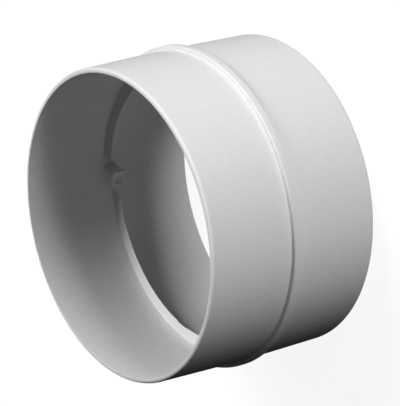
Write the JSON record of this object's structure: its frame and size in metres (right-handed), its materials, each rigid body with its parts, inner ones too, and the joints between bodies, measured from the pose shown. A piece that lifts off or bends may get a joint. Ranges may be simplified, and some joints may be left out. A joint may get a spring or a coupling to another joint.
{
  "type": "duct connector",
  "caption": "Short round duct connector with a tapered spigot at each end, a stop ridge round the middle, and half-ring stops and hooked axle clips inside for a flap.",
  "frame": {"origin": "centre of the lower end of the tube, on the surface that it stands on", "axes": "+Z along the duct's axis, +X towards the stop that lies nearer the upper end, Y along the axle that the two clips can hold"},
  "size_m": [0.1028, 0.1028, 0.062],
  "materials": {
    "white_plastic": "satin moulded white plastic"
  },
  "bodies": {
    "root": {"duct_connector": "white_plastic"}
  },
  "joints": []
}
